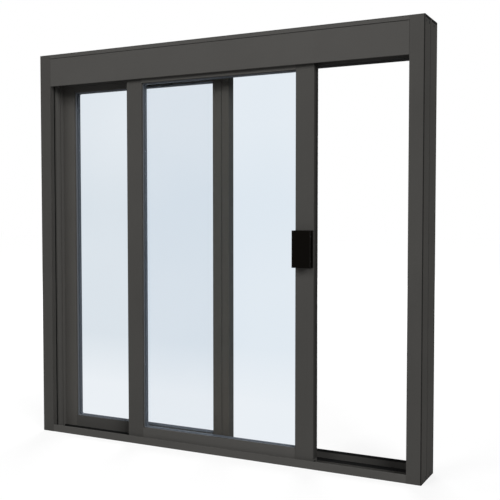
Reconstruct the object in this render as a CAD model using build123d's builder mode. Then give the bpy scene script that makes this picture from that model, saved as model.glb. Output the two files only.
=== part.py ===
# Sliding service window: a bronze aluminium frame with a fixed glazed panel at the back
# and a glazed panel in front of it that hangs on rollers and slides to open the pass-through.
# X runs to the right as seen by the server, Y away from the server, Z up.
# The origin is the middle of the sill's underside.
import os

from build123d import *

# Frame, overall
frame_width = 1178.0
frame_height = 1139.0
frame_depth = 114.3
frame_wall = 3.0

# Jambs
jamb_face = 38.1
jamb_outer_recess = 1.0
jamb_outer_lip = 4.0
jamb_outer_rib = 10.0
seal_setback = 4.0
seal_width = 9.0
seal_groove_depth = 6.0
seal_below_face = 1.5
shadow_groove_width = 8.0
shadow_groove_depth = 2.0
panel_pocket_depth = 9.5

# Head
head_height = 94.0
head_strip = 11.3
cover_joint = 1.0
cover_end_gap = 0.3
cover_tongue_rise = 6.0
cover_tongue_lap = 8.0
divider_rise = 3.5
soffit_rise = 7.0
filler_leg = 14.0

# Sill
lip_height = 21.3
upstand_height = 28.5
nose_drop = 2.5
nose_height = 19.0
locating_rib_height = 5.0
guide_height = 9.0
guide_thickness = 4.0
guide_foot_width = 6.0
guide_foot_thickness = 2.0

# Panels
sash_thickness = 28.0
stile_width = 50.8
rail_width = 38.1
glazing_pocket_width = 14.0
glazing_pocket_depth = 12.0
glass_thickness = 6.0
glass_bite = 9.0
meeting_groove_width = 1.6
meeting_groove_depth = 1.2
meeting_groove_offset = 3.0
fixed_head_clearance = 65.5
edge_radius = 0.8

# Sliding panel and its hardware
slide_clearance = 8.0
panel_spacing = 21.0
slider_floor_clearance = 5.0
slider_head_clearance = 63.6
slider_open_gap = 251.7
meeting_lap = 4.0
guide_slot_width = 14.0
guide_slot_headroom = 6.0
shoe_length = 40.0
shoe_running_gap = 0.5
meeting_seal_base = 15.0
meeting_seal_reach = 12.0
meeting_seal_thickness = 2.5

# Rollers and track
roller_radius = 14.0
roller_width = 8.0
roller_groove_depth = 3.0
roller_groove_width = 4.4
roller_headroom = 6.0
axle_radius = 3.0
axle_fit = 0.05
axle_tail = 2.0
running_gap = 0.3
bead_width = 3.0
bead_height = 8.0
track_flange = 22.0
hanger_thickness = 3.0
hanger_width = 34.0
hanger_standoff = 4.0
hanger_foot = 24.0
hanger_inset = 45.0

# Pull on the sliding panel
pull_width = 51.0
pull_height = 96.5
pull_reach = 25.0
pull_plate = 5.5
pull_web = 22.0
pull_centre_height = 571.5
pull_edge_radius = 1.5

# Small clearance round pieces that are fitted into the frame
seat_fit = 0.3

# Places worked out from the sizes
opening_width = frame_width - 2 * jamb_face
front = -frame_depth / 2
rear = frame_depth / 2
inner_right = opening_width / 2
inner_left = -inner_right
head_bottom = frame_height - head_height
soffit = head_bottom + soffit_rise
slider_front = front + frame_wall + slide_clearance
slider_back = slider_front + sash_thickness
fixed_front = slider_back + panel_spacing
fixed_back = fixed_front + sash_thickness
divider_back = fixed_front - seat_fit
divider_front = divider_back - frame_wall
chamber_front = fixed_back + seat_fit
fixed_bottom = frame_wall
fixed_top = frame_height - frame_wall - fixed_head_clearance
fixed_left = inner_left - panel_pocket_depth
fixed_right = stile_width / 2
slider_width = (opening_width + stile_width) / 2 + meeting_lap
slider_right = inner_right - slider_open_gap
slider_left = slider_right - slider_width
slider_bottom = frame_wall + slider_floor_clearance
slider_top = frame_height - frame_wall - slider_head_clearance
roller_y = slider_front + sash_thickness / 2
roller_z = frame_height - frame_wall - roller_headroom - roller_radius
bead_top = roller_z - roller_radius + roller_groove_depth - running_gap
hanger_back = roller_y - roller_width / 2 - hanger_standoff


def patch(low, high, mode=Mode.ADD):
    """One rectangle of a profile, between two opposite corners."""
    with Locations(((low[0] + high[0]) / 2, (low[1] + high[1]) / 2)):
        Rectangle(high[0] - low[0], high[1] - low[1], mode=mode)


def groove(low, high, mouth):
    """A walled groove cut into a hollow profile; mouth is the open side along local X."""
    wall_low = (low[0] - frame_wall if mouth > 0 else low[0], low[1] - frame_wall)
    wall_high = (high[0] if mouth > 0 else high[0] + frame_wall, high[1] + frame_wall)
    patch(wall_low, wall_high)
    patch(low, high, mode=Mode.SUBTRACT)


def jamb(side, pocket):
    """Full-height side member: a hollow profile drawn in plan, side -1 for left and 1 for right."""
    outer = side * frame_width / 2
    inner = side * inner_right

    def span(depth_from_inner, y_low, y_high):
        """Corners of a strip that goes in from the inner face."""
        edge = inner + side * depth_from_inner
        return (min(inner, edge), y_low), (max(inner, edge), y_high)

    def recess(y_low, y_high):
        """Corners of a strip that goes in from the outer face."""
        edge = outer - side * jamb_outer_recess
        return (min(outer, edge), y_low), (max(outer, edge), y_high)

    seal_front = slider_front + seal_setback
    cavity_edges = sorted((inner + side * frame_wall, outer - side * (jamb_outer_recess + frame_wall)))
    with BuildPart() as member:
        with BuildSketch():
            patch((min(outer, inner), front), (max(outer, inner), rear))
            across = vertices().group_by(Axis.X)
            fillet(across[0] if side < 0 else across[-1], radius=edge_radius)
            patch((cavity_edges[0], front + frame_wall), (cavity_edges[1], rear - frame_wall), Mode.SUBTRACT)
            patch(*recess(front + jamb_outer_lip, -jamb_outer_rib / 2), mode=Mode.SUBTRACT)
            patch(*recess(jamb_outer_rib / 2, rear - jamb_outer_lip), mode=Mode.SUBTRACT)
            groove(*span(seal_groove_depth, seal_front, seal_front + seal_width), mouth=-side)
            groove(*span(shadow_groove_depth, slider_back, slider_back + shadow_groove_width), mouth=-side)
            if pocket:
                pocket_span = span(panel_pocket_depth, fixed_front - seat_fit, fixed_back + seat_fit)
                groove(*pocket_span, mouth=-side)
        extrude(amount=frame_height)
    return member.part


def jamb_seal(side):
    """Black pile strip that lies in the jamb's groove, a little below the face."""
    seal_front = slider_front + seal_setback
    low = inner_right + seal_below_face
    high = inner_right + seal_groove_depth
    with BuildPart() as strip:
        with BuildSketch(Plane.XY.offset(frame_wall)):
            patch((low, seal_front + seat_fit), (high, seal_front + seal_width - seat_fit))
        extrude(amount=frame_height - 2 * frame_wall)
        nose_edges = strip.edges().filter_by(Axis.Z).group_by(Axis.X)[0]
        fillet(nose_edges, radius=seal_width / 4)
    return strip.part if side > 0 else mirror(strip.part, about=Plane.YZ)


def along_x(profile_patches, x_low, x_high):
    """Extrude a profile drawn in Y and Z along X, with its front and rear corners eased."""
    with BuildPart() as member:
        with BuildSketch(Plane.YZ.offset(x_low)):
            for low, high, mode in profile_patches:
                patch(low, high, mode)
            by_depth = vertices().group_by(Axis.X)
            fillet(by_depth[0] + by_depth[-1], radius=edge_radius)
        extrude(amount=x_high - x_low)
    return member.part


def stile(x_outer, x_inner, y_front, z_low, z_high):
    """Upright of a panel: a tube with a glazing pocket on the side that faces the glass."""
    inward = 1 if x_inner > x_outer else -1
    y_back = y_front + sash_thickness
    pocket_floor = x_inner - inward * glazing_pocket_depth
    tube = sorted((x_outer + inward * frame_wall, pocket_floor - inward * frame_wall))
    pocket = sorted((pocket_floor, x_inner))
    pocket_y = (y_front + y_back - glazing_pocket_width) / 2
    with BuildPart() as upright:
        with BuildSketch(Plane.XY.offset(z_low)):
            patch((min(x_outer, x_inner), y_front), (max(x_outer, x_inner), y_back))
            fillet(vertices(), radius=edge_radius)
            patch((tube[0], y_front + frame_wall), (tube[1], y_back - frame_wall), Mode.SUBTRACT)
            patch((pocket[0], pocket_y), (pocket[1], pocket_y + glazing_pocket_width), Mode.SUBTRACT)
        extrude(amount=z_high - z_low)
    return upright.part


def rail(x_low, x_high, y_front, z_outer, z_inner, guide_slot=False):
    """Cross member of a panel: a tube with a glazing pocket, and a guide slot under the sliding one."""
    inward = 1 if z_inner > z_outer else -1
    y_back = y_front + sash_thickness
    y_middle = (y_front + y_back) / 2
    pocket_floor = z_inner - inward * glazing_pocket_depth
    tube = sorted((z_outer + inward * frame_wall, pocket_floor - inward * frame_wall))
    pocket = sorted((pocket_floor, z_inner))
    slot = sorted((z_outer, z_outer + inward * frame_wall))
    pocket_half = glazing_pocket_width / 2
    slot_half = guide_slot_width / 2
    profile = [
        ((y_front, min(z_outer, z_inner)), (y_back, max(z_outer, z_inner)), Mode.ADD),
        ((y_front + frame_wall, tube[0]), (y_back - frame_wall, tube[1]), Mode.SUBTRACT),
        ((y_middle - pocket_half, pocket[0]), (y_middle + pocket_half, pocket[1]), Mode.SUBTRACT),
    ]
    if guide_slot:
        profile.append(((y_middle - slot_half, slot[0]), (y_middle + slot_half, slot[1]), Mode.SUBTRACT))
    return along_x(profile, x_low, x_high)


def glass(x_low, x_high, y_front, z_low, z_high):
    """Pane that reaches into the glazing pockets on all four sides of the daylight."""
    y_middle = y_front + sash_thickness / 2
    with BuildPart() as pane:
        with BuildSketch(Plane.XZ.offset(-y_middle)):
            patch((x_low - glass_bite, z_low - glass_bite), (x_high + glass_bite, z_high + glass_bite))
        extrude(amount=glass_thickness / 2, both=True)
    return pane.part


def gaskets(x_low, x_high, y_front, z_low, z_high):
    """Two rubber rings that grip the pane in its pocket, one on each face."""
    y_middle = y_front + sash_thickness / 2
    ring_thickness = (glazing_pocket_width - glass_thickness) / 2
    outer_low = (x_low - glass_bite, z_low - glass_bite)
    outer_high = (x_high + glass_bite, z_high + glass_bite)
    with BuildPart() as rings:
        for y_start in (y_middle - glazing_pocket_width / 2, y_middle + glass_thickness / 2):
            with BuildSketch(Plane.XZ.offset(-y_start)):
                patch(outer_low, outer_high)
                patch((x_low, z_low), (x_high, z_high), Mode.SUBTRACT)
            extrude(amount=-ring_thickness)
    return rings.part


pieces = {}

# Frame: jambs run full height, head and sill stand between them
pieces["left_jamb"] = jamb(-1, pocket=True)
pieces["right_jamb"] = jamb(1, pocket=False)
pieces["left_jamb_seal"] = jamb_seal(-1)
pieces["right_jamb_seal"] = jamb_seal(1)

head_profile = [
    ((front, frame_height - frame_wall), (rear, frame_height), Mode.ADD),
    ((front, frame_height - head_strip), (front + frame_wall, frame_height), Mode.ADD),
    ((divider_front, head_bottom + divider_rise), (divider_back, frame_height), Mode.ADD),
    ((chamber_front, soffit), (chamber_front + frame_wall, frame_height), Mode.ADD),
    ((rear - frame_wall, soffit), (rear, frame_height), Mode.ADD),
    ((chamber_front, soffit), (rear, soffit + frame_wall), Mode.ADD),
]
pieces["head_frame"] = along_x(head_profile, inner_left, inner_right)

cover_top = frame_height - head_strip - cover_joint
tongue_front = front + frame_wall
cover_profile = [
    ((front, head_bottom), (front + frame_wall, cover_top), Mode.ADD),
    (
        (tongue_front, cover_top - cover_tongue_lap),
        (tongue_front + frame_wall, cover_top + cover_joint + cover_tongue_rise),
        Mode.ADD,
    ),
]
pieces["head_cover"] = along_x(cover_profile, inner_left + cover_end_gap, inner_right - cover_end_gap)

filler_front = divider_back + seat_fit
filler_back = chamber_front - seat_fit
filler_profile = [
    ((filler_front, soffit), (filler_back, soffit + filler_leg), Mode.ADD),
    (
        (filler_front + frame_wall, soffit + frame_wall),
        (filler_back - frame_wall, soffit + filler_leg),
        Mode.SUBTRACT,
    ),
]
pieces["head_filler"] = along_x(filler_profile, fixed_right + seat_fit, inner_right)

# Sill: front lip, slider channel, fixed panel seat, rear upstand and an outer nose that sheds water
with BuildPart() as sill:
    with BuildSketch(Plane.YZ.offset(inner_left)):
        patch((front, 0), (rear, frame_wall))
        patch((front, 0), (front + frame_wall, lip_height))
        patch((divider_front, 0), (divider_back, frame_wall + locating_rib_height))
        with BuildLine():
            Polyline(
                (chamber_front, 0),
                (rear, 0),
                (rear, nose_height),
                (chamber_front + frame_wall, upstand_height - nose_drop),
                (chamber_front + frame_wall, upstand_height),
                (chamber_front, upstand_height),
                close=True,
            )
        make_face()
        with BuildLine():
            Polyline(
                (chamber_front + frame_wall, frame_wall),
                (rear - frame_wall, frame_wall),
                (rear - frame_wall, nose_height - frame_wall),
                (chamber_front + frame_wall, upstand_height - nose_drop - frame_wall),
                close=True,
            )
        make_face(mode=Mode.SUBTRACT)
        fillet(vertices().group_by(Axis.X)[0], radius=edge_radius)
    extrude(amount=opening_width)
pieces["sill"] = sill.part

guide_profile = [
    (
        (roller_y - guide_foot_width / 2, frame_wall),
        (roller_y + guide_foot_width / 2, frame_wall + guide_foot_thickness),
        Mode.ADD,
    ),
    (
        (roller_y - guide_thickness / 2, frame_wall),
        (roller_y + guide_thickness / 2, frame_wall + guide_height),
        Mode.ADD,
    ),
]
pieces["bottom_guide"] = along_x(guide_profile, inner_left, inner_right)

# Roller track: a flange on the divider, a shelf, and an upturned bead that the rollers run on
shelf_top = bead_top - bead_height
with BuildPart() as roller_track:
    with BuildSketch(Plane.YZ.offset(inner_left)):
        patch((divider_front - frame_wall, shelf_top - frame_wall), (divider_front, shelf_top + track_flange))
        patch((roller_y - bead_width / 2, shelf_top - frame_wall), (divider_front, shelf_top))
        patch((roller_y - bead_width / 2, shelf_top - frame_wall), (roller_y + bead_width / 2, bead_top))
    extrude(amount=opening_width)
    fillet(roller_track.edges().filter_by(Axis.X).group_by(Axis.Y)[0], radius=edge_radius)
pieces["roller_track"] = roller_track.part

# Fixed panel, seated in the left jamb's pocket and behind the divider
fixed_light = {
    "x_low": fixed_left + stile_width,
    "x_high": fixed_right - stile_width,
    "y_front": fixed_front,
    "z_low": fixed_bottom + rail_width,
    "z_high": fixed_top - rail_width,
}
fixed_span = (fixed_light["x_low"], fixed_light["x_high"], fixed_front)
pieces["fixed_left_stile"] = stile(fixed_left, fixed_light["x_low"], fixed_front, fixed_bottom, fixed_top)
pieces["fixed_top_rail"] = rail(*fixed_span, fixed_top, fixed_light["z_high"])
pieces["fixed_bottom_rail"] = rail(*fixed_span, fixed_bottom, fixed_light["z_low"])
pieces["fixed_glass"] = glass(**fixed_light)
pieces["fixed_gaskets"] = gaskets(**fixed_light)

with BuildPart() as fixed_right_stile:
    add(stile(fixed_right, fixed_light["x_high"], fixed_front, fixed_bottom, fixed_top))
    with BuildSketch(Plane.XY.offset(fixed_bottom)):
        groove_x = fixed_right - stile_width / 2 + meeting_groove_offset
        with Locations((groove_x, fixed_front + meeting_groove_depth / 2)):
            Rectangle(meeting_groove_width, meeting_groove_depth)
    extrude(amount=fixed_top - fixed_bottom, mode=Mode.SUBTRACT)
pieces["fixed_right_stile"] = fixed_right_stile.part

# Sliding panel
slider_light = {
    "x_low": slider_left + stile_width,
    "x_high": slider_right - stile_width,
    "y_front": slider_front,
    "z_low": slider_bottom + rail_width,
    "z_high": slider_top - rail_width,
}
slider_span = (slider_light["x_low"], slider_light["x_high"], slider_front)
guide_slot_top = frame_wall + guide_height + guide_slot_headroom


def slider_stile(x_outer, x_inner):
    """Upright of the sliding panel, notched at its foot to pass over the bottom guide."""
    with BuildPart() as upright:
        add(stile(x_outer, x_inner, slider_front, slider_bottom, slider_top))
        with BuildSketch(Plane.YZ.offset(min(x_outer, x_inner))):
            patch(
                (roller_y - guide_slot_width / 2, slider_bottom),
                (roller_y + guide_slot_width / 2, guide_slot_top),
            )
        extrude(amount=stile_width, mode=Mode.SUBTRACT)
    return upright.part


pieces["slider_left_stile"] = slider_stile(slider_left, slider_light["x_low"])
pieces["slider_right_stile"] = slider_stile(slider_right, slider_light["x_high"])
pieces["slider_top_rail"] = rail(*slider_span, slider_top, slider_light["z_high"])
pieces["slider_bottom_rail"] = rail(*slider_span, slider_bottom, slider_light["z_low"], guide_slot=True)
pieces["slider_glass"] = glass(**slider_light)
pieces["slider_gaskets"] = gaskets(**slider_light)

# Guide shoes inside the bottom rail, one at each end, astride the guide
shoe_bottom = slider_bottom + frame_wall
shoe_top = slider_light["z_low"] - glazing_pocket_depth - frame_wall
shoe_groove_half = guide_thickness / 2 + shoe_running_gap
shoe_profile = [
    (
        (slider_front + frame_wall + seat_fit, shoe_bottom),
        (slider_back - frame_wall - seat_fit, shoe_top),
        Mode.ADD,
    ),
    (
        (roller_y - shoe_groove_half, shoe_bottom),
        (roller_y + shoe_groove_half, guide_slot_top),
        Mode.SUBTRACT,
    ),
]
shoe_left = slider_light["x_low"]
shoe_right = slider_light["x_high"] - shoe_length
pieces["left_guide_shoe"] = along_x(shoe_profile, shoe_left, shoe_left + shoe_length)
pieces["right_guide_shoe"] = along_x(shoe_profile, shoe_right, shoe_right + shoe_length)

# Rubber fin on the back of the sliding panel that closes the gap at the meeting stiles
with BuildPart() as meeting_seal:
    with BuildSketch(Plane.XY.offset(slider_bottom)):
        patch(
            (slider_left, slider_back),
            (slider_left + meeting_seal_base, slider_back + meeting_seal_thickness),
        )
        patch(
            (slider_left, slider_back),
            (slider_left + meeting_seal_thickness, slider_back + meeting_seal_reach),
        )
    extrude(amount=slider_top - slider_bottom)
pieces["meeting_seal"] = meeting_seal.part


def hanger(x_middle):
    """Roller bracket screwed to the sliding panel's top rail, with its axle."""
    with BuildPart() as bracket:
        with BuildSketch(Plane.XZ.offset(-hanger_back)):
            with Locations((x_middle, (slider_top + roller_z) / 2)):
                Rectangle(hanger_width, roller_z - slider_top)
            with Locations((x_middle, roller_z)):
                Circle(hanger_width / 2)
            half = hanger_width / 2
            patch((x_middle - half, roller_z + roller_radius), (x_middle + half, frame_height), Mode.SUBTRACT)
        extrude(amount=hanger_thickness)
        with BuildSketch(Plane.XY.offset(slider_top)):
            foot_front = hanger_back - hanger_thickness
            patch(
                (x_middle - hanger_width / 2, foot_front),
                (x_middle + hanger_width / 2, foot_front + hanger_foot),
            )
        extrude(amount=hanger_thickness)
        with BuildSketch(Plane.XZ.offset(-hanger_back)):
            with Locations((x_middle, roller_z)):
                Circle(axle_radius)
        extrude(amount=-(hanger_standoff + roller_width + axle_tail))
    return bracket.part


def roller(x_middle):
    """Grooved wheel that runs on the track's bead."""
    half = roller_width / 2
    groove_half = roller_groove_width / 2
    groove_radius = roller_radius - roller_groove_depth
    with BuildPart() as wheel:
        with BuildSketch(Plane.XY):
            with BuildLine():
                Polyline(
                    (axle_radius + axle_fit, -half),
                    (roller_radius, -half),
                    (roller_radius, -groove_half),
                    (groove_radius, -groove_half),
                    (groove_radius, groove_half),
                    (roller_radius, groove_half),
                    (roller_radius, half),
                    (axle_radius + axle_fit, half),
                    close=True,
                )
            make_face()
        revolve(axis=Axis.Y)
    return Pos(x_middle, roller_y, roller_z) * wheel.part


for side_name, hanger_x in (
    ("left", slider_light["x_low"] + hanger_inset),
    ("right", slider_light["x_high"] - hanger_inset),
):
    pieces[f"{side_name}_hanger"] = hanger(hanger_x)
    pieces[f"{side_name}_roller"] = roller(hanger_x)

# Pull: base plate, web and grip plate in one extrusion, with a finger hollow on each side
pull_right = slider_right
pull_left = pull_right - pull_width
pull_front = slider_front - pull_reach
pull_middle = (pull_left + pull_right) / 2
with BuildPart() as pull_handle:
    with BuildSketch(Plane.XY.offset(pull_centre_height - pull_height / 2)):
        patch((pull_left, slider_front - pull_plate), (pull_right, slider_front))
        patch((pull_middle - pull_web / 2, pull_front), (pull_middle + pull_web / 2, slider_front))
        patch((pull_left, pull_front), (pull_right, pull_front + pull_plate))
    extrude(amount=pull_height)
    fillet(pull_handle.faces().sort_by(Axis.Y)[0].edges(), radius=pull_edge_radius)
pieces["pull_handle"] = pull_handle.part

os.makedirs("parts", exist_ok=True)
for node, piece in pieces.items():
    piece.label = node
    export_step(piece, f"parts/{node}.step")
    print(node, "volume", round(piece.volume / 1000, 1), "cm3")
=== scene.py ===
# %% [markdown]
# # A sliding service window
# This lesson dresses a service window that came from CAD: a bronze aluminium frame, a fixed glazed
# panel, and a glazed panel on rollers in front of it that stands part-way open.
# The CAD solids already have the right shapes, so most of the work is in the finishes. What CAD
# leaves out is modelled here: the rubber lips round the glass, the brushes of pile, the strips of rubber
# and foam, and the screws.

# %% Load the frame
import math

import bpy
from mathutils import Matrix, Vector


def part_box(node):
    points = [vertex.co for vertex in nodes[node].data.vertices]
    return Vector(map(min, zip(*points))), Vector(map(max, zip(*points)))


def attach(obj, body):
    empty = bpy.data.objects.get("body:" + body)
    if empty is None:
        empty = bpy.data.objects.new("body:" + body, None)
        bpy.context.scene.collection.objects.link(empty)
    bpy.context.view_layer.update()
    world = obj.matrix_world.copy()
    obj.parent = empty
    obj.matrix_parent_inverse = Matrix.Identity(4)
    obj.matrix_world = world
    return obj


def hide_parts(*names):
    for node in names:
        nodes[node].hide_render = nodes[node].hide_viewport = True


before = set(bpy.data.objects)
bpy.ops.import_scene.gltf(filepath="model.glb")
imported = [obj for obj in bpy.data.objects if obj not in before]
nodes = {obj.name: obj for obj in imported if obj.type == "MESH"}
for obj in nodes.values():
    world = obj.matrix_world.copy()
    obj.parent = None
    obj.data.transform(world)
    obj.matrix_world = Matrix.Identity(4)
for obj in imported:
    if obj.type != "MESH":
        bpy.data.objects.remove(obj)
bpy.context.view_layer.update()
MM = 0.001

# %% [markdown]
# ## The camera
# The picture is taken from the right of the window, a little above its middle. A camera can be placed by
# eye. Here its place and lens come from fitting the frame's edges, so that the perspective of the long
# head and sill agrees.


# %% Camera
def facing(place, target):
    """The turn that points a camera or a lamp from one place to another."""
    return (Vector(target) - Vector(place)).to_track_quat("-Z", "Y").to_euler()


camera_place = Vector((1.1230, -2.0290, 0.6559))
camera_target = Vector((0.1216, -0.05715, 0.5631))
camera_data = bpy.data.cameras.new("window_camera")
camera_data.sensor_width = 36.0
camera_data.sensor_fit = "HORIZONTAL"
camera_data.lens = 59.89
camera_data.shift_y = 0.0026
camera_data.clip_end = 200.0
camera = bpy.data.objects.new("window_camera", camera_data)
bpy.context.scene.collection.objects.link(camera)
camera.location = camera_place
camera.rotation_euler = facing(camera_place, camera_target)
bpy.context.scene.camera = camera
bpy.context.scene.view_settings.view_transform = "Standard"
print("camera distance", round((camera_target - camera_place).length, 3))

# %% [markdown]
# ## Helpers for shader nodes
# Every finish is a small graph of nodes. It can be drawn by hand in the shader editor. Written out, it
# needs a few helpers to stay short: they add a node and fill its inputs, start a material or a group,
# and join values, colours or shaders.


# %% Nodes, materials and groups
def add_node(tree, kind, inputs=None, **settings):
    """Add a node; an input's value is a number, a colour, or the socket that feeds it."""
    made = tree.nodes.new(kind)
    for name, value in settings.items():
        setattr(made, name, value)
    for name, value in (inputs or {}).items():
        if isinstance(value, bpy.types.NodeSocket):
            tree.links.new(value, made.inputs[name])
        else:
            made.inputs[name].default_value = value
    return made


def start_material(name, **sockets):
    """A new material and its Principled shader, with the shader's plain values set."""
    material = bpy.data.materials.new(name)
    material.use_nodes = True
    shader = material.node_tree.nodes["Principled BSDF"]
    for socket, value in sockets.items():
        shader.inputs[socket.replace("_", " ")].default_value = value
    return material, material.node_tree, shader


def start_group(name, inputs, outputs):
    """A shader node group with named float or vector sockets."""
    group = bpy.data.node_groups.new(name, "ShaderNodeTree")
    for socket, kind in inputs.items():
        group.interface.new_socket(socket, in_out="INPUT", socket_type=kind)
    for socket in outputs:
        group.interface.new_socket(socket, in_out="OUTPUT", socket_type="NodeSocketFloat")
    return group, group.nodes.new("NodeGroupInput"), group.nodes.new("NodeGroupOutput")


def grouped(tree, group, **inputs):
    """Place a group and fill its inputs by name."""
    placed = add_node(tree, "ShaderNodeGroup", node_tree=group)
    for name, value in inputs.items():
        socket = placed.inputs[name.replace("_", " ")]
        if isinstance(value, bpy.types.NodeSocket):
            tree.links.new(value, socket)
        else:
            socket.default_value = value
    return placed


print("helpers", add_node.__name__, start_material.__name__, start_group.__name__, grouped.__name__)


# %% Values, masks and colours
def combine(tree, operation, first, second, use_clamp=False):
    """Two values joined by a Math node."""
    made = add_node(tree, "ShaderNodeMath", operation=operation, use_clamp=use_clamp)
    tree.links.new(first, made.inputs[0])
    tree.links.new(second, made.inputs[1])
    return made.outputs["Value"]


def map_range(tree, value, from_low, from_high, to_low=0.0, to_high=1.0):
    """One range of values brought to another, and held at both ends."""
    made = add_node(
        tree,
        "ShaderNodeMapRange",
        {"Value": value, "From Min": from_low, "From Max": from_high, "To Min": to_low, "To Max": to_high},
    )
    return made.outputs["Result"]


def span_of(tree, value, low, high):
    """The middle half of a noise, where most of it lies, brought to a range of values."""
    return map_range(tree, value, 0.25, 0.75, low, high)


def between(tree, value, low, high, fade):
    """A mask that is 1 between two values and fades out on both sides."""
    rise = map_range(tree, value, low - fade, low)
    return map_range(tree, value, high, high + fade, rise, 0.0)


def blend_colours(tree, mask, low, high):
    """A colour between two, by a mask."""
    mix = add_node(tree, "ShaderNodeMix", data_type="RGBA")
    tree.links.new(mask, mix.inputs[0])
    for socket, value in ((mix.inputs[6], low), (mix.inputs[7], high)):
        if isinstance(value, bpy.types.NodeSocket):
            tree.links.new(value, socket)
        else:
            socket.default_value = (*value, 1.0)
    return mix.outputs[2]


def mix_shaders(tree, mask, first, second):
    """The first shader where a mask is 0, and the second where it is 1."""
    made = add_node(tree, "ShaderNodeMixShader", {"Fac": mask})
    tree.links.new(first, made.inputs[1])
    tree.links.new(second, made.inputs[2])
    return made.outputs["Shader"]


print("helpers", combine.__name__, map_range.__name__, blend_colours.__name__, mix_shaders.__name__)

# %% [markdown]
# ## Effects that several finishes share
# Extruded metal has fine lines along its length where it slid through the die, and broad soft
# changes of tone. Its corners and creases take a painted shade, a darker band, and small bright nicks of
# wear. Each effect could be drawn anew in every material. As a node group it is built once, and every
# frame member and the track can use it with their own values.

# %% Die lines
die_lines, lines_in, lines_out = start_group(
    "die_lines",
    {"Stretched": "NodeSocketVector", "Place": "NodeSocketVector", "Cloud Size": "NodeSocketFloat"},
    ["Lines", "Cloud"],
)
line_noise = add_node(
    die_lines, "ShaderNodeTexNoise", {"Vector": lines_in.outputs["Stretched"], "Scale": 1.0, "Detail": 3.0}
)
cloud_noise = add_node(
    die_lines,
    "ShaderNodeTexNoise",
    {"Vector": lines_in.outputs["Place"], "Scale": lines_in.outputs["Cloud Size"], "Detail": 2.0},
)
die_lines.links.new(line_noise.outputs["Fac"], lines_out.inputs["Lines"])
die_lines.links.new(cloud_noise.outputs["Fac"], lines_out.inputs["Cloud"])
print("group", die_lines.name, "with", len(die_lines.nodes), "nodes")

# %% Edge shade and wear
edge_shade_and_wear, shade_and_wear_in, shade_and_wear_out = start_group(
    "edge_shade_and_wear", {"Reach": "NodeSocketFloat", "Place": "NodeSocketVector"}, ["Edge", "Worn"]
)
# Edge marks edges and creases for painted shade; the patchy Worn marks them for nicks of wear.
rounded = add_node(edge_shade_and_wear, "ShaderNodeBevel", {"Radius": shade_and_wear_in.outputs["Reach"]}, samples=6)
surface = add_node(edge_shade_and_wear, "ShaderNodeNewGeometry")
agreement = add_node(edge_shade_and_wear, "ShaderNodeVectorMath", operation="DOT_PRODUCT")
edge_shade_and_wear.links.new(rounded.outputs["Normal"], agreement.inputs[0])
edge_shade_and_wear.links.new(surface.outputs["Normal"], agreement.inputs[1])
turned = map_range(edge_shade_and_wear, agreement.outputs["Value"], 0.99, 0.80)
breakup = add_node(
    edge_shade_and_wear, "ShaderNodeTexNoise", {"Vector": shade_and_wear_in.outputs["Place"], "Scale": 60.0, "Detail": 4.0}
)
patchy = map_range(edge_shade_and_wear, breakup.outputs["Fac"], 0.35, 0.7, 0.15, 1.0)
edge_shade_and_wear.links.new(turned, shade_and_wear_out.inputs["Edge"])
edge_shade_and_wear.links.new(combine(edge_shade_and_wear, "MULTIPLY", turned, patchy), shade_and_wear_out.inputs["Worn"])
print("group", edge_shade_and_wear.name, "with", len(edge_shade_and_wear.nodes), "nodes")

# %% [markdown]
# ## Dark bronze anodised aluminium
# Anodising is a thin hard skin that takes a dark dye, and on this window it hardly mirrors: the shader
# is a satin coat with little metal and gloss. A picture could give the streaks, but a pattern made of
# noise needs no file and keeps one scale on every piece. The die lines run along each extrusion: up the
# jambs and stiles, across the head, sill and rails. The members take a few tones of one bronze, and the
# tones are painted light and shade, so one function makes them all: the crosswise members are lighter,
# a painted sheen; the fixed stiles are lighter, painted light in their recess; the left jamb and the
# fixed panel's bottom rail are darker, painted shade. The function can also paint a stretch of depth in
# its own tone, such as painted shade in the sill's channel and painted light on the left jamb's inner
# wall, and draw a painted dark line of shade along an outer front corner.

# %% Extruded metal
frame_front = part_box("left_jamb")[0][1]
cloud_size = 5.0
cloud_share, streak_share = 0.7, 0.3
corner_reach, nick_reach = 1.5 * MM, 0.5 * MM
# How far back from the front the painted corner shade reaches, and how soft its sides are.
corner_shade_depth, corner_shade_blur = 0.9 * MM, 0.3 * MM
line_relief = {"Strength": 0.06, "Distance": 0.1 * MM}
beyond = 1 * MM


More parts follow.
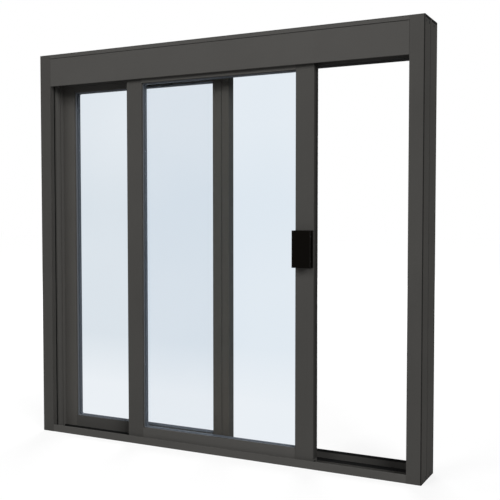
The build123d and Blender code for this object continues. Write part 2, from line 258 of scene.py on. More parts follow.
def extruded_metal(
    name, stretch, dark, light, shade, worn, rough_low, rough_high, recess=None, corner_line=None, **sockets
):
    """Metal with die lines along one axis, clouds of tone, painted shade at edges and creases, and bare
    nicks of wear; recess is a stretch of depth painted in its own tone, and corner_line a painted dark
    line of shade along an outer front corner."""
    material, tree, shader = start_material(name, **sockets)
    place = add_node(tree, "ShaderNodeTexCoord").outputs["Object"]
    where = add_node(tree, "ShaderNodeSeparateXYZ", {"Vector": place})
    stretched = add_node(tree, "ShaderNodeMapping", {"Vector": place, "Scale": stretch}).outputs["Vector"]
    lines = grouped(tree, die_lines, Stretched=stretched, Place=place, Cloud_Size=cloud_size)
    corner = grouped(tree, edge_shade_and_wear, Reach=corner_reach, Place=place)
    nick = grouped(tree, edge_shade_and_wear, Reach=nick_reach, Place=place)
    clouds = span_of(tree, lines.outputs["Cloud"], 0.0, cloud_share)
    streaks = span_of(tree, lines.outputs["Lines"], 0.0, streak_share)
    body = blend_colours(tree, combine(tree, "ADD", clouds, streaks), dark, light)
    if recess:
        start, end, fade, tone = recess
        body = blend_colours(tree, between(tree, where.outputs["Y"], start, end, fade), body, tone)
    # Painted shade: edges and creases are darker.
    edge_shaded = blend_colours(tree, corner.outputs["Edge"], body, shade)
    # Painted shade: a dark line on the front face along an outer corner.
    if corner_line:
        axis, low, high, tone = corner_line
        on_front = between(tree, where.outputs["Y"], frame_front - beyond, frame_front + corner_shade_depth, corner_shade_blur)
        at_corner = between(tree, where.outputs[axis], low, high, corner_shade_blur)
        edge_shaded = blend_colours(tree, combine(tree, "MULTIPLY", at_corner, on_front), edge_shaded, tone)
    tree.links.new(blend_colours(tree, nick.outputs["Worn"], edge_shaded, worn), shader.inputs["Base Color"])
    tree.links.new(span_of(tree, lines.outputs["Lines"], rough_low, rough_high), shader.inputs["Roughness"])
    bump = add_node(tree, "ShaderNodeBump", {"Height": lines.outputs["Lines"], **line_relief})
    tree.links.new(bump.outputs["Normal"], shader.inputs["Normal"])
    return material


print("the frame's front lies at", round(frame_front / MM, 2), "mm")

# %% Bronze tones
along_z = (700.0, 700.0, 2.5)
along_x = (2.5, 700.0, 700.0)
# In satin, shade is the painted shade at edges and creases, and worn is the colour of bare nicks.
satin = {
    "shade": (0.0350, 0.0340, 0.0321), "worn": (0.085, 0.0825, 0.078),
    "rough_low": 0.44, "rough_high": 0.56,
}
gloss = {"Metallic": 0.05, "Specular_IOR_Level": 0.0, "Specular_Tint": (0.05, 0.05, 0.05, 1.0)}
upright_bronze = {"dark": (0.0535, 0.0520, 0.0490), "light": (0.0620, 0.0603, 0.0568)}
# Painted shade: the left jamb is darker, where the light falls off towards the left.
left_shaded_bronze = {"dark": (0.0500, 0.0486, 0.0458), "light": (0.0580, 0.0564, 0.0531)}
# Painted light: the fixed stiles are lighter, standing for more light in their recess.
fixed_lit_bronze = {"dark": (0.0665, 0.0640, 0.0595), "light": (0.0765, 0.0736, 0.0684)}
# Painted sheen: the head and the other crosswise members are lighter, standing for sheen along their die lines.
head_sheen_bronze = {"dark": (0.0620, 0.0603, 0.0570), "light": (0.0712, 0.0693, 0.0656)}
crosswise_sheen_bronze = {"dark": (0.0675, 0.0657, 0.0621), "light": (0.0775, 0.0754, 0.0714)}
# Painted shade: the fixed panel's bottom rail, low in its recess, is darker.
low_shaded_bronze = {"dark": (0.0540, 0.0525, 0.0496), "light": (0.0620, 0.0603, 0.0569)}
print("lightest bronze", crosswise_sheen_bronze["light"], "darkest", left_shaded_bronze["dark"])

# %% Corners and stretches of depth with their own tone
left_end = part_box("left_jamb")[0][0]
right_end, frame_back, head_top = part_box("right_jamb")[1]
# Painted shade: dark lines along the outer front corners of both jambs and the head's top front edge.
outer_left = ("X", left_end - beyond, left_end + 1.6 * MM, (0.036, 0.035, 0.033))
outer_right = ("X", right_end - 2.4 * MM, right_end + beyond, (0.016, 0.0155, 0.0147))
outer_top = ("Z", head_top - 1.6 * MM, head_top + beyond, (0.030, 0.0291, 0.0275))
# Painted light: the left jamb's inner wall, deep in its recess, is painted lighter.
inner_wall = (frame_front + 16 * MM, frame_back + beyond, 4 * MM, (0.0790, 0.0767, 0.0722))
stile_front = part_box("fixed_right_stile")[0][1]
unfaded_front = (stile_front - beyond, stile_front + 2 * MM, 1 * MM, (0.0740, 0.0665, 0.0568))
# Painted shade: the sill's channel, a recess, is painted darker.
channel_start, channel_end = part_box("bottom_guide")[0][1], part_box("fixed_bottom_rail")[1][1] + beyond
channel = (channel_start, channel_end, 12 * MM, (0.0490, 0.0477, 0.0450))
print("the sill's dull channel is", round((channel_end - channel_start) / MM, 1), "mm deep")


# %% Bronze members
def bronze(name, stretch, tones, **marks):
    """Satin bronze in one member's tones, with its recess or corner line."""
    return extruded_metal(name, stretch, **tones, **satin, **marks, **gloss)


upright = bronze("bronze_upright", along_z, upright_bronze)
left_upright = bronze("bronze_left_jamb", along_z, left_shaded_bronze, recess=inner_wall, corner_line=outer_left)
right_upright = bronze("bronze_right_jamb", along_z, upright_bronze, corner_line=outer_right)
fixed_upright = bronze("bronze_fixed_stile", along_z, fixed_lit_bronze)
meeting_upright = bronze("bronze_meeting_stile", along_z, fixed_lit_bronze, recess=unfaded_front)
head_crosswise = bronze("bronze_head", along_x, head_sheen_bronze, corner_line=outer_top)
cover_crosswise = bronze("bronze_head_cover", along_x, head_sheen_bronze)
crosswise = bronze("bronze_crosswise", along_x, crosswise_sheen_bronze)
low_crosswise = bronze("bronze_low_rail", along_x, low_shaded_bronze)
sill_crosswise = bronze("bronze_sill", along_x, crosswise_sheen_bronze, recess=channel)
print("bronze finishes", [made.name for made in bpy.data.materials if made.name.startswith("bronze_")])

# %% [markdown]
# ## Mill aluminium
# The roller track and the bottom guide are bare metal, as it leaves the mill. A new graph could be made
# for them. The same function with pale tones and full metal gives them the same die lines.

# %% Mill aluminium
mill_aluminium = extruded_metal(
    "mill_aluminium",
    along_x,
    dark=(0.42, 0.42, 0.43),
    light=(0.56, 0.56, 0.57),
    # Painted shade at edges and creases, barely darker than the metal.
    shade=(0.40, 0.40, 0.41),
    worn=(0.66, 0.66, 0.67),
    rough_low=0.30,
    rough_high=0.46,
    Metallic=1.0,
)
print("made", mill_aluminium.name)

# %% [markdown]
# ## Glass
# The panes are clear, a little blue, and bright because they show the pale room behind. A low IOR
# keeps the frame behind the glass straight. Lamps pass to what is behind by a Transparent shader that
# only shadow and diffuse rays see. Faint clouds in the tint stand for a film on the glass. The tint is
# also painted paler at the top and the foot, a painted reflection of the pale room, and is deepest in
# the middle of the height. Where the sliding panel covers the fixed pane, the fixed one is painted
# paler, so that the two panes together are not tinted twice as deep.

# %% Pane glass
# Bands of height, as start, end and amount, where the tint is painted paler: a painted reflection.
reflection_bands = ((0.68, 0.90, 0.30), (0.64, 0.46, 0.1), (0.30, 0.15, 0.68))
covered_tint, covered_foot_tint = (0.905, 0.915, 0.928), (0.975, 0.98, 0.985)
covered_blur = 40 * MM


def pane_glass(name, film_tint, foot_tint, covered_from=None):
    """Clear bluish glass with faint clouds, painted paler at the top and the foot as a painted reflection, and
    paler where another panel covers it.
    """
    material, tree, shader = start_material(
        name, Roughness=0.0, IOR=1.06, Metallic=0.0, Transmission_Weight=1.0
    )
    place = add_node(tree, "ShaderNodeTexCoord").outputs["Object"]
    where = add_node(tree, "ShaderNodeSeparateXYZ", {"Vector": place})
    film = add_node(tree, "ShaderNodeTexNoise", {"Vector": place, "Scale": 2.2, "Detail": 2.0})
    haze_and_reflection = span_of(tree, film.outputs["Fac"], -0.15, 0.2)
    for start, end, amount in reflection_bands:
        reflection_band = map_range(tree, where.outputs["Z"], start, end, 0.0, amount)
        haze_and_reflection = combine(tree, "ADD", haze_and_reflection, reflection_band, use_clamp=True)
    reflection_at_foot = reflection_band
    tint = blend_colours(tree, haze_and_reflection, film_tint, foot_tint)
    # Where the sliding panel covers it, the fixed pane is painted paler, so the two panes are not tinted twice.
    if covered_from is not None:
        covered = map_range(tree, where.outputs["X"], covered_from, covered_from + covered_blur)
        behind = blend_colours(tree, reflection_at_foot, covered_tint, covered_foot_tint)
        tint = blend_colours(tree, covered, tint, behind)
    tree.links.new(tint, shader.inputs["Base Color"])
    clear = add_node(tree, "ShaderNodeBsdfTransparent", {"Color": (1.0, 1.0, 1.0, 1.0)})
    ray = add_node(tree, "ShaderNodeLightPath")
    passes = combine(tree, "MAXIMUM", ray.outputs["Is Shadow Ray"], ray.outputs["Is Diffuse Ray"])
    lets_lamps = mix_shaders(tree, passes, shader.outputs["BSDF"], clear.outputs["BSDF"])
    tree.links.new(lets_lamps, tree.nodes["Material Output"].inputs["Surface"])
    return material


slider_left_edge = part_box("slider_left_stile")[0][0]
fixed_pane = pane_glass("fixed_pane", (0.690, 0.756, 0.815), (0.870, 0.905, 0.940), slider_left_edge)
slider_pane = pane_glass("slider_pane", (0.735, 0.808, 0.876), (0.850, 0.888, 0.926))
print("the sliding panel covers the fixed pane from", round(slider_left_edge / MM, 1), "mm")

# %% [markdown]
# ## Rubber, pile, nylon, zinc and the pull
# The small parts differ in grain: rubber is matte with a fine skin. The lips round the glass are a pale
# blue-grey, a painted reflection of light and of the pale room on black rubber.
# Pile is a dull fuzz, nylon is waxy, zinc plate has crystal patches, and the pull is satin black with a
# fine pebble. Each could have a graph of its own. All come from one function, so that each is a few values.


# %% Grained finish
def grained(name, low, high, rough_low, rough_high, scale, depth, texture="ShaderNodeTexNoise", **sockets):
    """A finish whose colour, roughness and bump follow one fine grain."""
    material, tree, shader = start_material(name, **sockets)
    place = add_node(tree, "ShaderNodeTexCoord").outputs["Object"]
    grain = add_node(tree, texture, {"Vector": place, "Scale": scale})
    pattern = grain.outputs["Fac" if texture == "ShaderNodeTexNoise" else "Distance"]
    tree.links.new(blend_colours(tree, pattern, low, high), shader.inputs["Base Color"])
    tree.links.new(span_of(tree, pattern, rough_low, rough_high), shader.inputs["Roughness"])
    bump = add_node(tree, "ShaderNodeBump", {"Height": pattern, "Strength": 0.25, "Distance": depth})
    tree.links.new(bump.outputs["Normal"], shader.inputs["Normal"])
    print("finish", name)
    return material


print("helper", grained.__name__)

# %% Rubber and pile
rubber = {"scale": 900.0, "depth": 0.05 * MM}
fuzz = {"rough_low": 0.90, "rough_high": 1.0, "scale": 1800.0, "depth": 0.1 * MM}
black_rubber = grained(
    "gasket_rubber", (0.006, 0.006, 0.006), (0.012, 0.012, 0.012), 0.70, 0.88, **rubber, Specular_IOR_Level=0.02
)
# Painted reflection: the glazing lips are a pale blue-grey instead of black.
glazing_rubber_painted_reflection = grained(
    "glazing_rubber_painted_reflection", (0.086, 0.095, 0.109), (0.120, 0.130, 0.146), 0.55, 0.75, **rubber, Specular_IOR_Level=0.1
)
pile_black = grained(
    "pile_black", (0.003, 0.003, 0.003), (0.008, 0.008, 0.008), **fuzz, Specular_IOR_Level=0.05
)
pile_grey = grained(
    "pile_grey", (0.023, 0.0223, 0.0212), (0.039, 0.0379, 0.0358), **fuzz, Specular_IOR_Level=0.02
)

# %% Nylon, zinc, black oxide and the pull
nylon = grained("guide_nylon", (0.045, 0.045, 0.046), (0.065, 0.065, 0.066), 0.42, 0.58, 300.0, 0.03 * MM)
crystals = {"scale": 260.0, "depth": 0.02 * MM, "texture": "ShaderNodeTexVoronoi"}
zinc_plate = grained("zinc_plate", (0.48, 0.48, 0.49), (0.62, 0.62, 0.64), 0.28, 0.46, **crystals, Metallic=1.0)
oxide = {"scale": 500.0, "depth": 0.02 * MM, "Specular_IOR_Level": 0.05}
black_oxide = grained("black_oxide", (0.010, 0.010, 0.010), (0.020, 0.020, 0.021), 0.45, 0.6, **oxide)
pebble = {"scale": 1500.0, "depth": 0.05 * MM, "Specular_IOR_Level": 0.02}
pull_black = grained("pull_black", (0.0014, 0.0011, 0.0008), (0.0030, 0.0025, 0.0019), 0.50, 0.62, **pebble)

# %% [markdown]
# ## Dressing the CAD nodes
# Each CAD node gets one finish for all its faces. They could be picked one by one. A table by name shows
# at a glance which pieces share a finish, and the panels' stiles and rails follow a rule.

# %% Dress the CAD nodes
finishes = {
    "left_jamb": left_upright, "right_jamb": right_upright,
    "head_frame": head_crosswise, "head_cover": cover_crosswise, "head_filler": cover_crosswise,
    "sill": sill_crosswise, "bottom_guide": mill_aluminium, "roller_track": mill_aluminium,
    "left_guide_shoe": nylon, "right_guide_shoe": nylon, "left_roller": nylon, "right_roller": nylon,
    "left_hanger": zinc_plate, "right_hanger": zinc_plate,
    "meeting_seal": black_rubber, "pull_handle": pull_black,
    "fixed_glass": fixed_pane, "slider_glass": slider_pane,
}
for panel, stile_finish in (("fixed", fixed_upright), ("slider", upright)):
    for piece in ("left_stile", "right_stile"):
        finishes[f"{panel}_{piece}"] = stile_finish
    for piece in ("top_rail", "bottom_rail"):
        finishes[f"{panel}_{piece}"] = crosswise
# The fixed panel's bottom rail takes the darker tone, a painted shade.
finishes["fixed_bottom_rail"] = low_crosswise
finishes["fixed_right_stile"] = meeting_upright
for name, material in finishes.items():
    for used in nodes[name].material_slots:
        used.material = material
print("dressed", len(finishes), "nodes")

# %% [markdown]
# ## Rubber lips round the glass
# A wedge of rubber holds the pane in its pocket and shows as a thin rounded lip against the glass. Behind
# the glass a deeper bead fills the pocket up to the panel's back. The lips stand out by a different width
# on each side. A section could be swept round the pane. Here a plane is inset and its middle deleted,
# which leaves a ring with clean mitred corners. The ring is extruded to its depth, its inner corners are
# rounded, and its lip is bevelled.

# %% Select, settle and join
smooth_angle = 0.6


def work_on(piece):
    """Select one object alone, as the operators act on all that is selected."""
    bpy.ops.object.select_all(action="DESELECT")
    piece.select_set(True)
    bpy.context.view_layer.objects.active = piece


def settle(piece):
    """Apply an object's place, turn and size to its mesh."""
    work_on(piece)
    bpy.ops.object.transform_apply(location=True, rotation=True, scale=True)


def pick_edges(piece, test):
    """Select the edges, seen in edit mode, that pass a test on their two ends."""
    bpy.ops.mesh.select_all(action="DESELECT")
    bpy.ops.object.mode_set(mode="OBJECT")
    mesh = piece.data
    for edge in mesh.edges:
        ends = [mesh.vertices[i].co for i in edge.vertices]
        edge.select = test(*ends)
    bpy.ops.object.mode_set(mode="EDIT")


def join_all(made, name):
    """Join several pieces into one with a name."""
    bpy.ops.object.select_all(action="DESELECT")
    for one in made:
        one.select_set(True)
    bpy.context.view_layer.objects.active = made[0]
    bpy.ops.object.join()
    joined = bpy.context.view_layer.objects.active
    joined.name = joined.data.name = name
    return joined


print("edges under", round(math.degrees(smooth_angle)), "degrees are shaded smooth")

# %% Gasket ring
gasket_bite = 9 * MM
ring_width = 7.5 * MM
gasket_depth = 4 * MM
gasket_corner = 5 * MM
lip_round = 0.35 * MM
ring_slack = 1 * MM


def gasket_ring(low, high, glass_face, depth):
    """One ring on one face of the pane; low and high are the corners, in X and Z, of what it leaves open,
    and depth is how far it stands off the glass, less than 0 towards the front."""
    bpy.ops.object.select_all(action="DESELECT")
    bpy.ops.mesh.primitive_plane_add(size=1.0)
    ring = bpy.context.object
    ring.rotation_euler = (math.pi / 2, 0, 0)
    ring.scale = (high[0] - low[0] + 2 * ring_width, high[1] - low[1] + 2 * ring_width, 1.0)
    ring.location = ((low[0] + high[0]) / 2, glass_face, (low[1] + high[1]) / 2)
    settle(ring)
    bpy.ops.object.mode_set(mode="EDIT")
    bpy.ops.mesh.select_mode(type="FACE")
    bpy.ops.mesh.select_all(action="SELECT")
    bpy.ops.mesh.inset(thickness=ring_width)
    bpy.ops.mesh.delete(type="FACE")
    bpy.ops.mesh.select_all(action="SELECT")
    bpy.ops.mesh.extrude_region_move(TRANSFORM_OT_translate={"value": (0, depth, 0)})
    bpy.ops.mesh.select_all(action="SELECT")
    bpy.ops.mesh.normals_make_consistent(inside=False)
    bpy.ops.mesh.select_mode(type="EDGE")
    face = glass_face + depth

    def inner(a, b):
        """Both ends lie on the ring's inner side."""
        return all(
            low[0] - ring_slack < v.x < high[0] + ring_slack
            and low[1] - ring_slack < v.z < high[1] + ring_slack
            for v in (a, b)
        )

    def on_lip(a, b):
        """Inner edge of the ring, away from the glass."""
        return inner(a, b) and abs(a.y - face) < 1e-5 and abs(b.y - face) < 1e-5

    def in_corner(a, b):
        """The short edge across the ring's thickness at an inner corner."""
        return inner(a, b) and abs(a.y - b.y) > abs(depth) / 2

    pick_edges(ring, in_corner)
    bpy.ops.mesh.bevel(offset=gasket_corner, segments=5, affect="EDGES")
    pick_edges(ring, on_lip)
    bpy.ops.mesh.bevel(offset=lip_round, segments=3, affect="EDGES")
    bpy.ops.object.mode_set(mode="OBJECT")
    return ring


print("gasket rings are", round(ring_width / MM, 1), "mm wide")

# %% Lips and beads of both panels
lip_widths = {
    "fixed": {"left": 2.0 * MM, "right": 0.4 * MM, "foot": 2.2 * MM, "top": 2.5 * MM},
    "slider": {"left": 0.2 * MM, "right": 0.4 * MM, "foot": 0.5 * MM, "top": 1.8 * MM},
}
bead_setback = 0.4 * MM
for panel, lip in lip_widths.items():
    low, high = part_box(panel + "_glass")
    open_low = (low[0] + gasket_bite + lip["left"], low[2] + gasket_bite + lip["foot"])
    open_high = (high[0] - gasket_bite - lip["right"], high[2] - gasket_bite - lip["top"])
    rear_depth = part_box(panel + "_bottom_rail")[1][1] - high[1] - bead_setback
    rings = [
        gasket_ring(open_low, open_high, low[1], -gasket_depth),
        gasket_ring(open_low, open_high, high[1], rear_depth),
    ]
    lips = join_all(rings, panel + "_glazing_lips")
    lips.data.materials.append(glazing_rubber_painted_reflection)
    work_on(lips)
    bpy.ops.object.shade_smooth_by_angle(angle=smooth_angle)
    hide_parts(panel + "_gaskets")
    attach(lips, "root")
    print(lips.name, len(lips.data.polygons), "faces, rear bead", round(rear_depth / MM, 1), "mm deep")

# %% [markdown]
# ## Pile strips in the jambs and on the sliding panel
# The jamb's groove holds a backing with a brush of short black fibres, and the sliding panel's closing
# edge carries a wider grey one that covers most of the stile's side and makes that side darker. Hair
# particles could give single fibres, but at this size a tuft is enough. One tapered tuft is modelled and
# an Array repeats it up the strip. A small random shift of the points makes it a brush again.


# %% A box between two corners
def box_between(low, high):
    """A cube brought to two opposite corners, as the start of a piece."""
    bpy.ops.object.select_all(action="DESELECT")
    bpy.ops.mesh.primitive_cube_add(size=1.0)
    made = bpy.context.object
    made.scale = [b - a for a, b in zip(low, high)]
    made.location = [(a + b) / 2 for a, b in zip(low, high)]
    settle(made)
    return made


print("helper", box_between.__name__)

# %% Backing and tufts
backing_share = 0.22
backing_round = 0.2 * MM
tuft_pitch = 2 * MM
tuft_height = 1.7 * MM
tuft_taper = 0.6
ragged = 0.25 * MM


def pile_backing(low, high):
    """The flat strip that carries the tufts."""
    backing = box_between(low, high)
    bpy.ops.object.mode_set(mode="EDIT")
    bpy.ops.mesh.select_all(action="SELECT")
    bpy.ops.mesh.bevel(offset=backing_round, segments=2, affect="EDGES")
    bpy.ops.object.mode_set(mode="OBJECT")
    return backing


def pile_tufts(low, high, tip, count):
    """One tuft that tapers towards its tip in X, repeated upwards and made ragged."""
    tuft = box_between(low, high)
    bpy.ops.object.mode_set(mode="EDIT")
    bpy.ops.mesh.select_mode(type="VERT")
    bpy.ops.mesh.select_all(action="DESELECT")
    bpy.ops.object.mode_set(mode="OBJECT")
    for point in tuft.data.vertices:
        point.select = abs(point.co.x - tip) < 0.1 * MM
    bpy.ops.object.mode_set(mode="EDIT")
    bpy.ops.transform.resize(value=(1.0, tuft_taper, tuft_taper))
    bpy.ops.object.mode_set(mode="OBJECT")
    row = tuft.modifiers.new("row", "ARRAY")
    row.use_relative_offset = False
    row.use_constant_offset = True
    row.constant_offset_displace = (0, 0, tuft_pitch)
    row.count = count
    work_on(tuft)
    bpy.ops.object.modifier_apply(modifier="row")
    bpy.ops.object.mode_set(mode="EDIT")
    bpy.ops.mesh.select_all(action="SELECT")
    bpy.ops.transform.vertex_random(offset=ragged, seed=7)
    bpy.ops.object.mode_set(mode="OBJECT")
    return tuft


print("tufts every", round(tuft_pitch / MM, 1), "mm")


# %% Pile strips
def pile_strip(name, low, high, inward, tuft_width, fibre):
    """Backing and tufts that fill a box; the tufts point along X, inward being 1 or -1."""
    root_x, tip_x = (low[0], high[0]) if inward > 0 else (high[0], low[0])
    backing_depth = backing_share * abs(tip_x - root_x)
    backing_x = root_x + inward * backing_depth
    tuft_tip = tip_x - inward * ragged
    backing_span, tuft_span = sorted((root_x, backing_x)), sorted((backing_x, tuft_tip))
    backing = pile_backing((backing_span[0], low[1], low[2]), (backing_span[1], high[1], high[2]))
    middle_y, first_z = (low[1] + high[1]) / 2, low[2] + tuft_pitch / 2
    tufts = pile_tufts(
        (tuft_span[0], middle_y - tuft_width / 2, first_z - tuft_height / 2),
        (tuft_span[1], middle_y + tuft_width / 2, first_z + tuft_height / 2),
        tuft_tip,
        int((high[2] - low[2]) / tuft_pitch),
    )
    strip = join_all([backing, tufts], name)
    strip.data.materials.append(fibre)
    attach(strip, "root")
    print(strip.name, len(strip.data.polygons), "faces")
    return strip


for side, inward in (("left", 1), ("right", -1)):
    low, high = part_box(side + "_jamb_seal")
    strip = pile_strip(side + "_jamb_pile", low, high, inward, 8.2 * MM, pile_black)
    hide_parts(side + "_jamb_seal")

low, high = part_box("slider_right_stile")
pile_reach = 3.4 * MM
pile_low = (high[0], low[1] + 5 * MM, low[2] + 16 * MM)
pile_high = (high[0] + pile_reach, low[1] + 26.5 * MM, high[2] - 4 * MM)
pile_strip("slider_edge_pile", pile_low, pile_high, 1, 19 * MM, pile_grey)

# %% [markdown]
# ## Black rubber in the sill and head
# The bay that stands open has an empty seat in its sill, and a strip of black rubber lies in it: it is
# painted shade, a dark piece where the seat lies in shade. In front of the fixed panel a round dark bulb
# stands on the sill before the foot of the bottom rail. A cap covers the top of the sill's upstand, and a
# strip lines the underside of the head in the open bay. They show as dark lines. A curve with a profile
# could give such a strip. As the runs are straight, they start as boxes whose long edges are bevelled
# round.

# %% A run of rubber
long_edge = 30 * MM


def rubber_run(name, low, high, radius, top=True):
    """A straight run of rubber with its upper or lower long edges rounded."""
    run = box_between(low, high)
    bpy.ops.object.mode_set(mode="EDIT")
    bpy.ops.mesh.select_mode(type="EDGE")
    level = (low[2] + high[2]) / 2
    pick_edges(run, lambda a, b: (a - b).length > long_edge and ((a.z + b.z) / 2 > level) == top)
    bpy.ops.mesh.bevel(offset=radius, segments=4, affect="EDGES")
    bpy.ops.object.mode_set(mode="OBJECT")
    bpy.ops.object.shade_smooth_by_angle(angle=smooth_angle)
    run.name = run.data.name = name
    run.data.materials.append(black_rubber)
    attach(run, "root")
    print(name, "is", round((high[0] - low[0]) / MM, 1), "mm long in X")
    return run


print("helper", rubber_run.__name__)

# %% Rubber in the sill
sill_low, sill_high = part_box("sill")
rail_low, rail_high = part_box("fixed_bottom_rail")
bay_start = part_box("fixed_right_stile")[1][0]
end_gap = 0.5 * MM
seat_clearance = 0.3 * MM
sill_floor = sill_low[2] + 3 * MM
rib_top = sill_floor + 5 * MM
# Painted shade: black rubber in the open seat, standing for the shade there.
rubber_run(
    "seat_shade_rubber",
    (bay_start + end_gap, rail_low[1] + seat_clearance, sill_floor),
    (sill_high[0] - end_gap, rail_high[1] - seat_clearance, sill_floor + 5.1 * MM),
    1.0 * MM,
)
rubber_run(
    "fixed_foot_bulb",
    (sill_low[0] + end_gap, rail_low[1] - 8.0 * MM, sill_floor),
    (bay_start - end_gap, rail_low[1] - 3.35 * MM, rib_top + 3 * MM),
    1.6 * MM,
)
upstand_front = rail_high[1] + seat_clearance
upstand_top = 28.5 * MM
rubber_run(
    "upstand_cap",
    (sill_low[0] + end_gap, upstand_front - 0.2 * MM, upstand_top - 4.5 * MM),
    (sill_high[0] - end_gap, upstand_front + 3.3 * MM, upstand_top + 1.7 * MM),
    0.6 * MM,
)

# %% Rubber under the head
filler_low, filler_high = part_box("head_filler")
head_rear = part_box("head_frame")[1][1]
rubber_run(
    "soffit_rubber",
    (filler_low[0] + end_gap, filler_low[1] + end_gap, filler_low[2] - 1.2 * MM),
    (filler_high[0] - end_gap, head_rear - 1.5 * MM, filler_low[2] + 0.3 * MM),
    0.5 * MM,
    top=False,
)

# %% [markdown]
# ## Foam at the ends of the jambs
# The jamb's outer side is a little hollow between its lips and its middle rib. Where the hollows end,
# at the top and bottom, strips of black foam close them. A dark patch in the finish could stand for the
# foam. As real strips they keep their place from every side.

# %% Jamb end foam
hollow_depth = 1.0 * MM
foam_setback = 0.1 * MM
lip_edge = 4.1 * MM
rib_edge = 5.1 * MM
foot_foam, top_foam = 1.5 * MM, 6.0 * MM
foam_round = 0.2 * MM
for side, sign in (("left", -1), ("right", 1)):
    low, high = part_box(side + "_jamb")
    outer = low[0] if sign < 0 else high[0]
    hollow_x = sorted((outer - sign * hollow_depth, outer - sign * foam_setback))
    foams = []
    for y_low, y_high in ((low[1] + lip_edge, -rib_edge), (rib_edge, high[1] - lip_edge)):
        for z_low, z_high in ((low[2], low[2] + foot_foam), (high[2] - top_foam, high[2])):
            at_foot = z_low == low[2]
            corner_low, corner_high = (hollow_x[0], y_low, z_low), (hollow_x[1], y_high, z_high)
            foams.append(rubber_run("foam", corner_low, corner_high, foam_round, top=at_foot))
    foam = join_all(foams, side + "_end_foam")
    print(foam.name, len(foam.data.polygons), "faces")

# %% [markdown]
# ## Screws
# The frame is screwed together through the jambs, the hangers to the top rail, the track to the
# divider and the pull to its stile. A bump in the finish could hint at a head, but it would vanish from
# the side. One head with a cross slot is modelled from a cylinder: its rim is bevelled into a dome and two
# crossed bars cut the slot. The jambs' heads are flatter, so that they stay below the lips that meet the
# wall. The rest are copies.

# %% One screw
slot_length, slot_width, slot_depth = 1.15, 0.28, 0.55


def screw_head(radius, height):
    """A low domed head that stands on the XY plane and points up."""
    bpy.ops.object.select_all(action="DESELECT")
    bpy.ops.mesh.primitive_cylinder_add(vertices=28, radius=radius, depth=height, location=(0, 0, height / 2))
    head = bpy.context.object
    settle(head)
    bpy.ops.object.mode_set(mode="EDIT")
    bpy.ops.mesh.select_mode(type="EDGE")
    pick_edges(head, lambda a, b: a.z > height * 0.9 and b.z > height * 0.9)
    bpy.ops.mesh.bevel(offset=height * 0.55, segments=4, affect="EDGES")
    bpy.ops.object.mode_set(mode="OBJECT")
    bars = []
    for long_x, long_y in ((slot_length, slot_width), (slot_width, slot_length)):
        half_x, half_y, half_z = radius * long_x / 2, radius * long_y / 2, height * slot_depth
        bars.append(box_between((-half_x, -half_y, height - half_z), (half_x, half_y, height + half_z)))
    for bar in bars:
        cut = head.modifiers.new("slot", "BOOLEAN")
        cut.operation = "DIFFERENCE"
        cut.solver = "EXACT"
        cut.object = bar
        work_on(head)
        bpy.ops.object.modifier_apply(modifier="slot")
    for bar in bars:
        bpy.data.objects.remove(bar, do_unlink=True)
    work_on(head)
    bpy.ops.object.shade_smooth_by_angle(angle=smooth_angle)
    print("screw head", round(2 * radius / MM, 1), "mm across,", len(head.data.polygons), "faces")
    return head


large_head = screw_head(4.2 * MM, 2.2 * MM)
small_head = screw_head(3.0 * MM, 1.8 * MM)
flat_head = screw_head(4.2 * MM, 0.8 * MM)


# %% Copies of a screw
def screw_set(name, head, places, direction, material, slot):
    """Copies of a head at several places, all facing one way, as one piece."""
    turn = Vector((0, 0, 1)).rotation_difference(Vector(direction)).to_matrix().to_4x4()
    copies = []
    for spot in places:
        one = head.copy()
        one.data = head.data.copy()
        bpy.context.scene.collection.objects.link(one)
        one.data.transform(Matrix.Translation(Vector(spot)) @ turn)
        copies.append(one)
    made = join_all(copies, name)
    made.data.materials.clear()
    made.data.materials.append(material)
    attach(made, "root")
    print(name, len(copies), "heads")
    return made


print("helper", screw_set.__name__)

# %% Screws through the jambs
below_top, above_foot = 12 * MM, 8 * MM
jamb_screw_depths = (-38 * MM, -14 * MM, 30 * MM)
for side, sign in (("left", -1), ("right", 1)):
    low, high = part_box(side + "_jamb")
    face = (low[0] + hollow_depth) if sign < 0 else (high[0] - hollow_depth)
    spots = []
    for z in (high[2] - below_top, low[2] + above_foot):
        spots += [(face, y, z) for y in jamb_screw_depths]
    screw_set(side + "_jamb_screws", flat_head, spots, (sign, 0, 0), black_oxide, "bronze_frame")

# %% Screws of the hangers, the track and the pull
plate_thickness = 3 * MM
for side in ("left", "right"):
    low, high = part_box(side + "_hanger")
    foot_top = low[2] + plate_thickness
    middle = (low[0] + high[0]) / 2
    spots = [(middle + dx, low[1] + 15 * MM, foot_top) for dx in (-10 * MM, 10 * MM)]
    screw_set(side + "_hanger_screws", large_head, spots, (0, 0, 1), zinc_plate, "hanger_steel")

low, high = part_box("roller_track")
flange_face = high[1] - plate_thickness
track_screw_count = 7
pitch = (high[0] - low[0]) / track_screw_count
spots = [(low[0] + pitch * (i + 0.5), flange_face, high[2] - 8 * MM) for i in range(track_screw_count)]
screw_set("track_screws", large_head, spots, (0, -1, 0), zinc_plate, "hanger_steel")

low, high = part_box("pull_handle")
plate_face = high[1] - 5.5 * MM
from_side, from_end = 7 * MM, 16 * MM
columns, rows = (low[0] + from_side, high[0] - from_side), (low[2] + from_end, high[2] - from_end)
spots = [(x, plate_face, z) for x in columns for z in rows]
screw_set("pull_screws", small_head, spots, (0, -1, 0), black_oxide, "pull_black")
for head in (large_head, small_head, flat_head):
    bpy.data.objects.remove(head, do_unlink=True)

# %% [markdown]
# ## Floor and background
# A white floor and background stand in for a studio. More light could make them white, but it would
# flood the metal too. So camera, mirror and glass rays see plain white, and only diffuse rays take light
# from the dimmer world. To the camera the floor adds a little light of its own to its shaded white, and so
# it keeps the window's soft shadow.

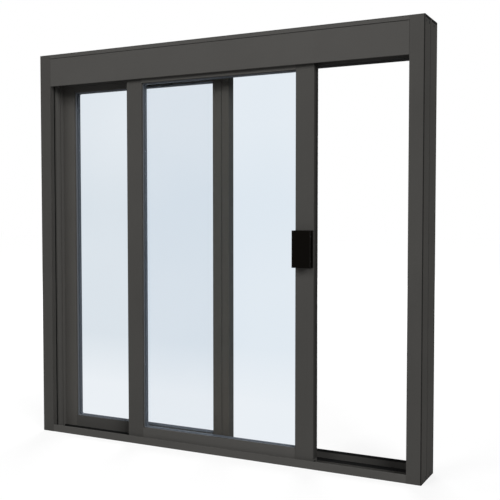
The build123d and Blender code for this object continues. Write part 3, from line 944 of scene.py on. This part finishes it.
# %% White for the rays that show it
pure_white = (1.0, 1.0, 1.0, 1.0)


def sees_white(tree):
    """1 for camera, glossy and transmission rays."""
    ray = add_node(tree, "ShaderNodeLightPath")
    total = ray.outputs["Is Camera Ray"]
    for name in ("Is Glossy Ray", "Is Transmission Ray"):
        total = combine(tree, "MAXIMUM", total, ray.outputs[name])
    return total


print("helper", sees_white.__name__)

# %% Floor
bpy.ops.object.select_all(action="DESELECT")
bpy.ops.mesh.primitive_plane_add(size=40.0, location=(0, 0, -0.5 * MM))
floor = bpy.context.object
floor.name = "studio_floor"
floor_white = bpy.data.materials.new("floor_white")
floor_white.use_nodes = True
tree = floor_white.node_tree
tree.nodes.remove(tree.nodes["Principled BSDF"])
matte = add_node(tree, "ShaderNodeBsdfDiffuse", {"Color": (0.2, 0.2, 0.2, 1.0)})
spot = add_node(tree, "ShaderNodeTexCoord").outputs["Object"]
away = add_node(tree, "ShaderNodeVectorMath", operation="LENGTH")
tree.links.new(spot, away.inputs[0])
near, far, near_glow, far_glow = 0.8, 5.0, 0.80, 0.975
brighter = map_range(tree, away.outputs["Value"], near, far, near_glow, far_glow)
glow = add_node(tree, "ShaderNodeEmission", {"Strength": brighter})
lit = add_node(tree, "ShaderNodeAddShader")
tree.links.new(matte.outputs["BSDF"], lit.inputs[0])
tree.links.new(glow.outputs["Emission"], lit.inputs[1])
plain = add_node(tree, "ShaderNodeEmission", {"Color": pure_white, "Strength": 1.0})
direct = add_node(tree, "ShaderNodeLightPath").outputs["Is Camera Ray"]
seen = mix_shaders(tree, direct, plain.outputs["Emission"], lit.outputs["Shader"])
bounce = add_node(tree, "ShaderNodeBsdfDiffuse", {"Color": (0.45, 0.45, 0.45, 1.0)})
choice = mix_shaders(tree, sees_white(tree), bounce.outputs["BSDF"], seen)
tree.links.new(choice, tree.nodes["Material Output"].inputs["Surface"])
floor.data.materials.append(floor_white)
print("floor glow", near_glow, "at", near, "m and", far_glow, "at", far, "m")

# %% Background
room_strength = 0.10
world = bpy.data.worlds.new("studio")
bpy.context.scene.world = world
world.use_nodes = True
tree = world.node_tree
room = tree.nodes["Background"]
room.inputs["Color"].default_value = pure_white
room.inputs["Strength"].default_value = room_strength
white = add_node(tree, "ShaderNodeBackground", {"Color": pure_white, "Strength": 1.0})
choice = mix_shaders(tree, sees_white(tree), room.outputs["Background"], white.outputs["Background"])
tree.links.new(choice, tree.nodes["World Output"].inputs["Surface"])
print("room light", room_strength)

# %% [markdown]
# ## Lamps
# One lamp would leave the recesses and the far sides black. Four soft ones light the window: a large one
# far to the right, a nearer one high in front that reaches into the recesses, and one each for the left
# side and the back. The one at the back is hidden from the camera and from mirror and glass rays, so that
# it doesn't show through the panes.

# %% Lamps
window_middle = (0, 0, 0.6)


def soft_box(name, place, size, watts):
    """A square lamp that points at the middle of the window."""
    data = bpy.data.lights.new(name, "AREA")
    data.size = size
    data.energy = watts
    lamp = bpy.data.objects.new(name, data)
    bpy.context.scene.collection.objects.link(lamp)
    lamp.location = place
    lamp.rotation_euler = facing(place, window_middle)
    print(name, size, "m,", watts, "W")
    return lamp


soft_box("key_box", (8.0, -6.0, 5.0), 5.0, 1060)
soft_box("front_box", (-1.2, -3.4, 3.2), 2.2, 87)
soft_box("left_box", (-6.0, -0.5, 2.6), 2.5, 110)
back_box = soft_box("back_box", (-2.0, 5.2, 3.4), 3.0, 270)
back_box.visible_camera = False
back_box.visible_glossy = False
back_box.visible_transmission = False
